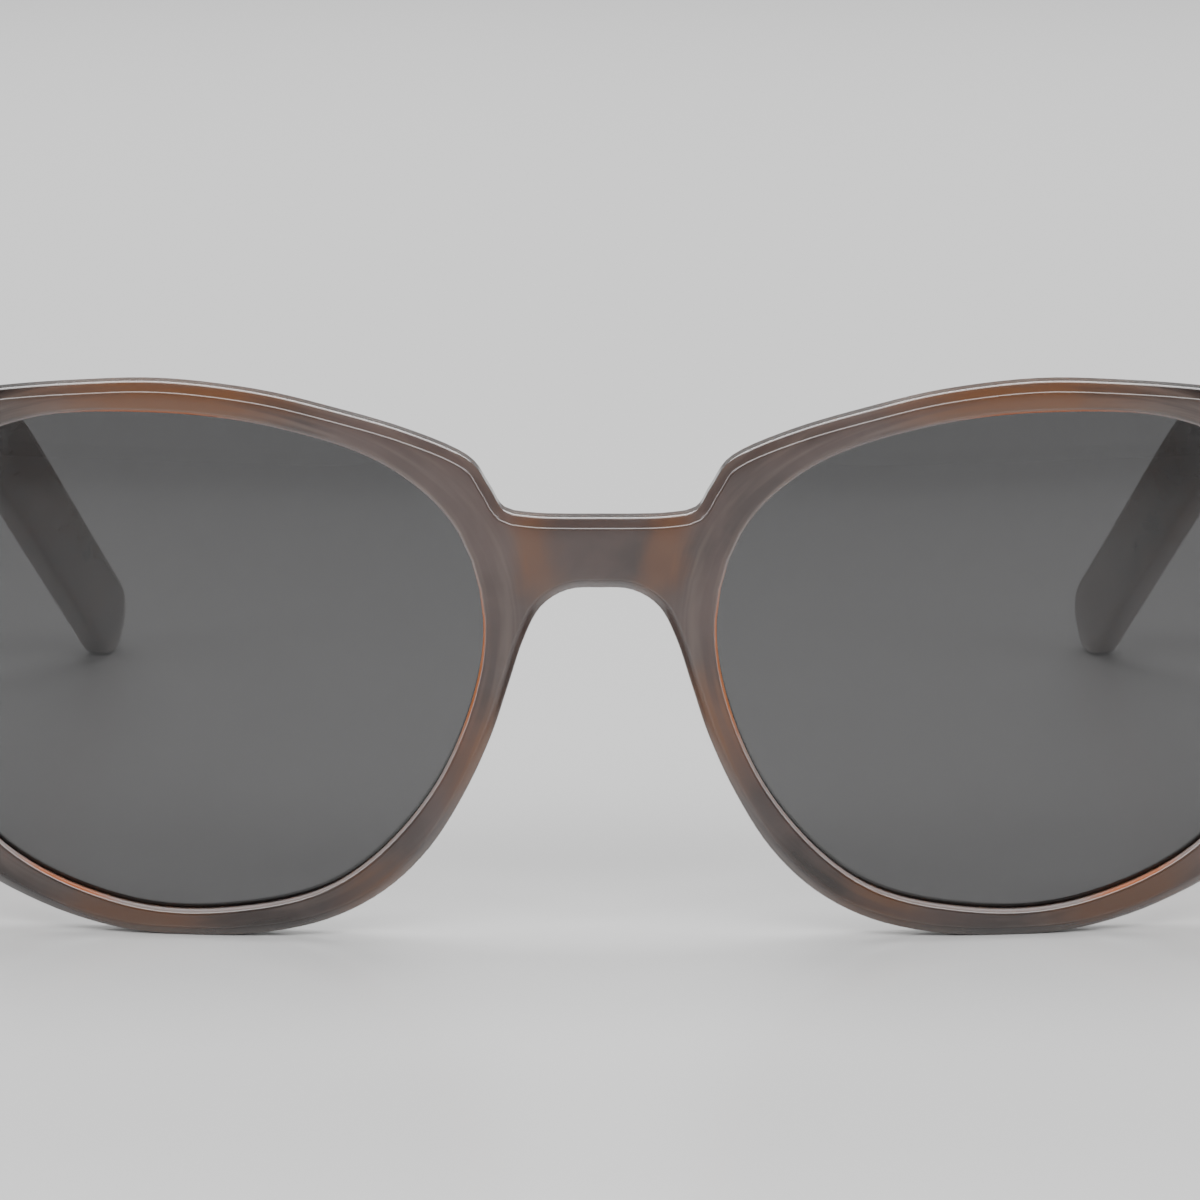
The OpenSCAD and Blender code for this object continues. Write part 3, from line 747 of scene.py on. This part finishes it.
def put_rod(bm, radius, length, centre, axis="X", rounding=0.0, slot=0, segments=40):
    """Adds a cylinder along X or Z, with rounded rims."""
    before = set(bm.faces)
    turn = Matrix.Rotation(math.pi / 2, 4, "Y") if axis == "X" else Matrix.Identity(4)
    made = bmesh.ops.create_cone(bm, cap_ends=True, segments=segments, radius1=radius, radius2=radius,
                                 depth=length, matrix=Matrix.Translation(centre) @ turn)["verts"]
    rims = {e for v in made for e in v.link_edges if any(len(f.verts) > 4 for f in e.link_faces)}
    round_off(bm, rims, rounding, 2, before, slot)


def seated(name, bm, sign, s, smooth_angle=35):
    """Makes a piece from a shape in millimetres, at its place s along a temple."""
    bmesh.ops.transform(bm, matrix=seat(sign, s), verts=bm.verts[:])
    bmesh.ops.recalc_face_normals(bm, faces=bm.faces[:])
    return new_object(name, bm, smooth_angle)


def rod_cutter(sign, s, radius, length, centre, axis="X"):
    bm = bmesh.new()
    put_rod(bm, radius, length, centre, axis)
    return seated("cutter", bm, sign, s)


def block_cutter(sign, s, size, centre, rounding=0.0):
    bm = bmesh.new()
    put_block(bm, size, centre, rounding, segments=4, upright=True)
    return seated("cutter", bm, sign, s)


def cut_away(piece, cutters, keep=None):
    """Keeps what lies inside the keep shape, cuts the cutters out, then removes both."""
    for cutter in ([keep] if keep else []) + cutters:
        cut = piece.modifiers.new("cut", "BOOLEAN")
        cut.operation = "INTERSECT" if cutter is keep else "DIFFERENCE"
        cut.solver = "EXACT"
        cut.object = cutter
    bpy.context.view_layer.update()
    done = bpy.data.meshes.new_from_object(piece.evaluated_get(bpy.context.evaluated_depsgraph_get()))
    piece.modifiers.clear()
    piece.data = done
    for cutter in ([keep] if keep else []) + cutters:
        bpy.data.objects.remove(cutter)
    done.shade_smooth()
    done.set_sharp_from_angle(angle=math.radians(32))


def along(start, stop, spacing=2.5):
    count = max(2, round((stop - start) / spacing))
    return [start + (stop - start) * k / count for k in range(count + 1)]


cover_s = (13, 76.5)
cavity_s = (17.5, 73)
cover_t, cover_edge, cavity_edge, outer_wall = 1.2, 1.1, 1.9, 1.1
mic_s, button_s, slider_s, light_s, mesh_s = 19.5, 27, 36, 31, 67.5
screws_s, contacts_s = (15, 75), (19.5, 26.5)
button_l = 7
port_r, contact_r, light_r = 0.4, 1.15, 0.55
screw_r, screw_room_r, screw_head_r = 0.45, 0.5, 0.95
slit_gap, slit_count = 1.4, 5
tip_angles = [math.radians(a) for a in (12, 24, 36, 48, 58, 67, 74, 80, 85)]


def whole_temple(sign):
    """The solid temple, from its root to the round end of its tip."""
    stations = along(-1, end_s) + [end_s + tip_h / 2 * math.sin(a) for a in tip_angles]

    def outside(s):
        return -thickness(s) / 2, thickness(s) / 2, -height(s) / 2, height(s) / 2
    bm = loft(sign, stations, outside, segments=56)
    root = face_y + root_y * MM
    for v in bm.verts:
        v.co.y = max(v.co.y, root)
    rim = [e for e in bm.edges if all(abs(v.co.y - root) < 1e-8 for v in e.verts)
           and e.calc_face_angle(0) > 1]
    cut_back(bm, rim, 0.5 * MM, 3)
    return bm


def cover_pocket(sign, gap):
    """The space that a cover fills, this much smaller all round."""
    def inside(s):
        half = height(s) / 2 - cover_edge - gap
        return -thickness(s) / 2 - 1, -thickness(s) / 2 + cover_t - gap / 2, -half, half
    return new_object("cutter", loft(sign, along(cover_s[0] + gap, cover_s[1] - gap), inside, 30))


def shaft_cavity(sign):
    """The room for the electronics, inside the shaft."""
    def inside(s):
        half = height(s) / 2 - cavity_edge
        return -thickness(s) / 2, thickness(s) / 2 - outer_wall, -half, half
    return new_object("cutter", loft(sign, along(*cavity_s), inside, 12))


temple_acetate = acetate("temple_acetate")
hinge_x, hinge_y = half_w - 7.2, end_y + 1.6
leaf_room_t, barrel_room_r, barrel_room_h = 2.14, 1.8, 9.5
for side, sign in (("left", 1), ("right", -1)):
    housing = new_object(f"temple_shell_{side}", whole_temple(sign))
    leaf_low, leaf_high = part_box(f"temple_hinge_{side}")
    leaf_x = (temple_x - housing_t / 2 + 0.07) * MM
    leaf_front = face_y + (root_y - 1) * MM
    leaf_back = leaf_high.y + 0.05 * MM
    bm = bmesh.new()
    put_block(bm, (leaf_room_t * MM, leaf_back - leaf_front, leaf_high.z - leaf_low.z + 0.1 * MM),
              (sign * leaf_x, (leaf_front + leaf_back) / 2, hinge_z * MM))
    leaf_room = new_object("cutter", bm)
    bm = bmesh.new()
    put_rod(bm, barrel_room_r * MM, barrel_room_h * MM,
            (sign * hinge_x * MM, face_y + hinge_y * MM, hinge_z * MM), "Z")
    barrel_room = new_object("cutter", bm)
    openings = [cover_pocket(sign, -0.06), shaft_cavity(sign), leaf_room, barrel_room,
                rod_cutter(sign, mic_s, port_r, 5, (0.2, 0, -root_h / 2), "Z")]
    openings += [rod_cutter(sign, s, screw_r, 8, (-thickness(s) / 2, 0, 0)) for s in screws_s]
    openings += [block_cutter(sign, mesh_s + (k - (slit_count - 1) / 2) * slit_gap, (2, 0.7, 4.4),
                              (0, 0, -height(mesh_s) / 2), 0.33) for k in range(slit_count)]
    if side == "right":
        openings.append(block_cutter(sign, button_s, (2.6, button_l + 0.2, 4.4), (0.6, 0, root_h / 2), 0.9))
    cut_away(housing, openings)
    housing.data.materials.append(temple_acetate)
    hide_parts(f"temple_housing_{side}")
    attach(housing, f"temple_{side}")

# ---- Inner covers ----
# A thin cover of satin moulded plastic closes each hollow shaft on the side next to the head. Two
# small screws hold it, and the contacts, the light and the slider reach the outside through it.


def grain_group():
    """Fine grain and broad patches on any small part, in stretched object coordinates."""
    group = bpy.data.node_groups.new("surface_grain", "ShaderNodeTree")
    group.interface.new_socket("Scale", in_out="INPUT", socket_type="NodeSocketFloat")
    group.interface.new_socket("Stretch", in_out="INPUT", socket_type="NodeSocketVector")
    group.interface.new_socket("Grain", in_out="OUTPUT", socket_type="NodeSocketFloat")
    group.interface.new_socket("Patch", in_out="OUTPUT", socket_type="NodeSocketFloat")
    nodes, links = group.nodes, group.links
    inputs, outputs = nodes.new("NodeGroupInput"), nodes.new("NodeGroupOutput")
    stretch = nodes.new("ShaderNodeVectorMath")
    stretch.operation = "MULTIPLY"
    links.new(nodes.new("ShaderNodeTexCoord").outputs["Object"], stretch.inputs[0])
    links.new(inputs.outputs["Stretch"], stretch.inputs[1])
    for output, share, detail in (("Grain", 1, 3), ("Patch", 0.12, 5)):
        size = nodes.new("ShaderNodeMath")
        size.operation = "MULTIPLY"
        links.new(inputs.outputs["Scale"], size.inputs[0])
        size.inputs[1].default_value = share
        noise = nodes.new("ShaderNodeTexNoise")
        noise.inputs["Detail"].default_value = detail
        links.new(stretch.outputs[0], noise.inputs["Vector"])
        links.new(size.outputs[0], noise.inputs["Scale"])
        links.new(noise.outputs["Fac"], outputs.inputs[output])
    return group


grain = grain_group()


def finish(name, colour, rough, scale=1500, stretch=(1, 1, 1), variation=0.2, depth=0.01, **values):
    """A material with grained roughness, a bump this many millimetres deep and a varied colour."""
    material, node = shader(name, **values)
    nodes, links = material.node_tree.nodes, material.node_tree.links
    texture = nodes.new("ShaderNodeGroup")
    texture.node_tree = grain
    texture.inputs["Scale"].default_value = scale
    texture.inputs["Stretch"].default_value = stretch
    shade = nodes.new("ShaderNodeMix")
    shade.data_type = "RGBA"
    sockets = [socket for socket in shade.inputs if socket.type == "RGBA"]
    links.new(texture.outputs["Patch"], shade.inputs["Factor"])
    for socket, change in zip(sockets, (1 - variation, 1 + variation)):
        socket.default_value = tuple(min(1, c * change) for c in colour) + (1,)
    links.new(next(socket for socket in shade.outputs if socket.type == "RGBA"), node.inputs["Base Color"])
    spread = nodes.new("ShaderNodeMapRange")
    links.new(texture.outputs["Grain"], spread.inputs["Value"])
    for socket, number in zip(("From Min", "From Max", "To Min", "To Max"), (0.3, 0.7, *rough)):
        spread.inputs[socket].default_value = number
    links.new(spread.outputs["Result"], node.inputs["Roughness"])
    bump = nodes.new("ShaderNodeBump")
    bump.inputs["Strength"].default_value = 0.6
    bump.inputs["Distance"].default_value = depth * MM
    links.new(texture.outputs["Grain"], bump.inputs["Height"])
    links.new(bump.outputs["Normal"], node.inputs["Normal"])
    return material


cover_plastic = finish("cover_plastic", (0.062, 0.052, 0.05), (0.32, 0.5), scale=2600, depth=0.012,
                       IOR=1.5)
for side, sign in (("left", 1), ("right", -1)):
    cover = new_object(f"inner_cover_{side}", whole_temple(sign))
    holes = [rod_cutter(sign, s, contact_r, 4, (-thickness(s) / 2, 0, 0)) for s in contacts_s]
    for s in screws_s:
        holes += [rod_cutter(sign, s, screw_room_r, 4, (-thickness(s) / 2, 0, 0)),
                  rod_cutter(sign, s, screw_head_r, 0.8, (-thickness(s) / 2, 0, 0))]
    holes.append(rod_cutter(sign, light_s, light_r, 4, (-thickness(light_s) / 2, 0, 0)))
    if side == "left":
        holes.append(block_cutter(sign, slider_s, (4, 4.8, 2.2), (-thickness(slider_s) / 2, 0, 0)))
    cut_away(cover, holes, keep=cover_pocket(sign, 0.05))
    cover.data.materials.append(cover_plastic)
    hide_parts(f"temple_cover_{side}")
    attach(cover, f"temple_{side}")

# ---- Hinges and screws ----
# Five-barrel hinges of stainless steel. One leaf is set into the back of the end piece and one
# into the inner side of the temple, both on two round studs, and a slotted screw joins them.


def refined(node, name, rounding):
    """Makes a piece from a merged copy of a frame node, with its sharp edges rounded."""
    bm = bmesh.new()
    bm.from_mesh(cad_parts[node].data)
    for layer in list(bm.loops.layers.uv):
        bm.loops.layers.uv.remove(layer)
    bmesh.ops.remove_doubles(bm, verts=bm.verts[:], dist=1e-6)
    bmesh.ops.dissolve_limit(bm, angle_limit=math.radians(0.5), verts=bm.verts[:], edges=bm.edges[:])
    sharp = [e for e in bm.edges if e.calc_face_angle(0) > math.radians(30)]
    cut_back(bm, sharp, rounding * MM, 2)
    for face in bm.faces:
        face.material_index = 0
    return new_object(name, bm, 32)


def refit(node, name, rounding, material, body):
    """Puts a refined piece in its node's place, with its material and body."""
    piece = refined(node, name, rounding)
    piece.data.materials.append(material)
    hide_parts(node)
    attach(piece, body)


hinge_steel = finish("hinge_steel", (0.56, 0.55, 0.54), (0.2, 0.38), scale=1100, stretch=(1, 1, 9),
                     variation=0.1, depth=0.003, Metallic=1.0)
screw_steel = finish("screw_steel", (0.66, 0.66, 0.67), (0.12, 0.26), scale=3000, variation=0.1,
                     depth=0.004, Metallic=1.0)
for side in ("left", "right"):
    body = f"temple_{side}"
    refit(f"front_hinge_{side}", f"front_leaf_{side}", 0.07, hinge_steel, "front")
    refit(f"temple_hinge_{side}", f"temple_leaf_{side}", 0.07, hinge_steel, body)
    refit(f"hinge_screw_{side}", f"pivot_screw_{side}", 0.06, screw_steel, "front")
    refit(f"cover_screws_{side}", f"small_screws_{side}", 0.05, screw_steel, body)

# ---- Slider and button ----
# The power slider is a ribbed satin cap on the left cover, over a slide switch on the board. The
# action button is a bar in the top of the right temple, over a domed steel switch.
control_plastic = finish("control_plastic", (0.035, 0.03, 0.029), (0.35, 0.55), scale=3000, IOR=1.5)
switch_black = finish("switch_black", (0.014, 0.014, 0.014), (0.4, 0.6), scale=2500, IOR=1.5)
switch_steel = finish("switch_steel", (0.6, 0.6, 0.6), (0.25, 0.4), scale=1600, variation=0.1, Metallic=1.0)
refit("power_slider", "slider_cap", 0.12, control_plastic, "power_slider")
refit("power_switch", "slide_switch", 0.15, switch_black, "temple_left")
refit("action_button", "button_bar", 0.35, control_plastic, "action_button")
refit("button_switch", "dome_switch", 0.15, switch_steel, "temple_right")

# ---- Contacts, magnets and lights ----
# Two gold-plated pins stand flush in each cover, with a nickel-plated magnet between them to draw
# the charging clip. A clear diffusing pipe brings the status light to the surface.
gold_plate = finish("gold_plate", (0.83, 0.6, 0.24), (0.16, 0.3), scale=2600, variation=0.08,
                    depth=0.004, Metallic=1.0)
nickel_plate = finish("nickel_plate", (0.6, 0.58, 0.54), (0.18, 0.34), scale=1800, variation=0.1,
                      Metallic=1.0)
light_pipe = finish("light_pipe", (0.82, 0.85, 0.87), (0.2, 0.34), scale=1800, variation=0.06, IOR=1.49,
                    Subsurface_Weight=0.6, Subsurface_Scale=1 * MM)
for side in ("left", "right"):
    body = f"temple_{side}"
    refit(f"charging_contacts_{side}", f"contact_pins_{side}", 0.1, gold_plate, body)
    refit(f"charging_magnet_{side}", f"disc_magnet_{side}", 0.12, nickel_plate, body)
    refit(f"status_light_{side}", f"light_pipe_{side}", 0.1, light_pipe, body)

# ---- Electronics ----
# Each shaft holds a pouch cell, a board with a shield can, a sealed speaker box behind its mesh, a
# microphone over its port, and films for the antenna, the touch area and the cable.
cell_foil = finish("cell_foil", (0.55, 0.58, 0.62), (0.28, 0.5), scale=420, variation=0.12,
                   depth=0.08, Metallic=0.9)
cell_tape = finish("cell_tape", (0.55, 0.3, 0.05), (0.3, 0.45), scale=900, IOR=1.5)
board_green = finish("board_green", (0.012, 0.085, 0.04), (0.25, 0.45), scale=1300, variation=0.35,
                     depth=0.02, IOR=1.5)
shield_tin = finish("shield_tin", (0.6, 0.6, 0.58), (0.26, 0.42), scale=800, stretch=(1, 5, 1),
                    variation=0.1, Metallic=1.0)
chip_black = finish("chip_black", (0.02, 0.02, 0.022), (0.45, 0.65), scale=3000, IOR=1.5)
speaker_black = finish("speaker_black", (0.02, 0.02, 0.021), (0.4, 0.62), scale=2600, IOR=1.5)
speaker_cone = finish("speaker_cone", (0.11, 0.1, 0.095), (0.3, 0.5), scale=1500, IOR=1.5)
flex_film = finish("flex_film", (0.5, 0.2, 0.035), (0.22, 0.4), scale=700, stretch=(1, 1, 8),
                   variation=0.25, IOR=1.6)
core_steel = finish("core_steel", (0.55, 0.52, 0.44), (0.22, 0.4), scale=900, stretch=(1, 0.1, 1),
                    variation=0.1, Metallic=1.0)
mesh_steel = finish("mesh_steel", (0.06, 0.06, 0.06), (0.3, 0.5), scale=4000, depth=0.03, Metallic=1.0)


def made(name, sign, s, materials, blocks=(), rods=()):
    """A piece built at s along a temple from boxes (size, centre, rounding, material) and rods."""
    bm = bmesh.new()
    for size, centre, rounding, slot in blocks:
        put_block(bm, size, centre, rounding, slot)
    for radius, length, centre, axis, rounding, slot in rods:
        put_rod(bm, radius, length, centre, axis, rounding, slot, 32)
    piece = seated(name, bm, sign, s)
    for material in materials:
        piece.data.materials.append(material)
    return piece


def claim(piece, side, node):
    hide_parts(f"{node}_{side}")
    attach(piece, f"temple_{side}")


for side, sign in (("left", 1), ("right", -1)):
    cell = made(f"pouch_cell_{side}", sign, 51.8, (cell_foil, cell_tape, board_green, shield_tin), [
        ((3.2, 20.6, 7.5), (-0.15, 0.6, 0), 0.7, 0), ((0.24, 21.6, 7.56), (-0.15, 0.2, 0), 0.1, 0),
        ((3.26, 1.8, 7.56), (-0.15, -8.4, 0), 0.6, 1), ((1.4, 1.3, 6), (-0.15, -10.5, 0), 0.15, 2),
        ((0.3, 0.9, 1.2), (-0.85, -11, 1.7), 0.08, 3), ((0.3, 0.9, 1.2), (-0.85, -11, -1.7), 0.08, 3)])
    claim(cell, side, "battery")
    small_parts = [((0.5, 0.5, 0.9), (0.55, y, z), 0.08, 3)
                   for y in (1.6, 2.4) for z in (-2.6, -1.2, 0.2, 1.6)]
    board = made(f"main_board_{side}", sign, 29, (board_green, shield_tin, chip_black, chip_black), [
        ((0.7, 20, 6.8), (1.1, 0, -0.4), 0.06, 0), ((0.8, 7.2, 5), (0.4, -3.5, -0.2), 0.2, 1),
        ((0.7, 2.4, 2.4), (0.45, 4.1, 1.2), 0.08, 2), ((0.7, 2.2, 2.2), (0.45, 4.1, -2), 0.08, 2),
        ((0.7, 1.9, 4.9), (0.45, 8.2, 0), 0.12, 2)] + small_parts)
    claim(board, side, "circuit_board")
    speaker = made(f"speaker_box_{side}", sign, 68, (speaker_black, speaker_cone, shield_tin), [
        ((3, 8.6, 5.6), (0.1, 0, 0.4), 0.4, 0), ((2.2, 7.2, 0.6), (0.1, 0, -2.7), 0.2, 1)],
        [(0.25, 0.3, (-1.42, -3.2, 2.1), "X", 0.05, 2), (0.25, 0.3, (-1.42, -3.2, 0.9), "X", 0.05, 2)])
    claim(speaker, side, "speaker")
    microphone = made(f"mic_can_{side}", sign, mic_s, (gold_plate, shield_tin), [
        ((0.7, 2.6, 0.14), (0.2, 0, -root_h / 2 + cavity_edge + 0.12), 0.04, 0),
        ((0.6, 2.3, 0.34), (0.2, 0, -root_h / 2 + cavity_edge + 0.36), 0.1, 1)])
    claim(microphone, side, "microphone")
    body = f"temple_{side}"
    refit(f"speaker_mesh_{side}", f"grille_mesh_{side}", 0.05, mesh_steel, body)
    refit(f"core_wire_{side}", f"tip_core_{side}", 0.12, core_steel, body)
    refit(f"antenna_{side}", f"antenna_film_{side}", 0.02, flex_film, body)
    refit(f"touch_sensor_{side}", f"touch_film_{side}", 0.02, flex_film, body)
    refit(f"ribbon_cable_{side}", f"flat_cable_{side}", 0.02, flex_film, body)
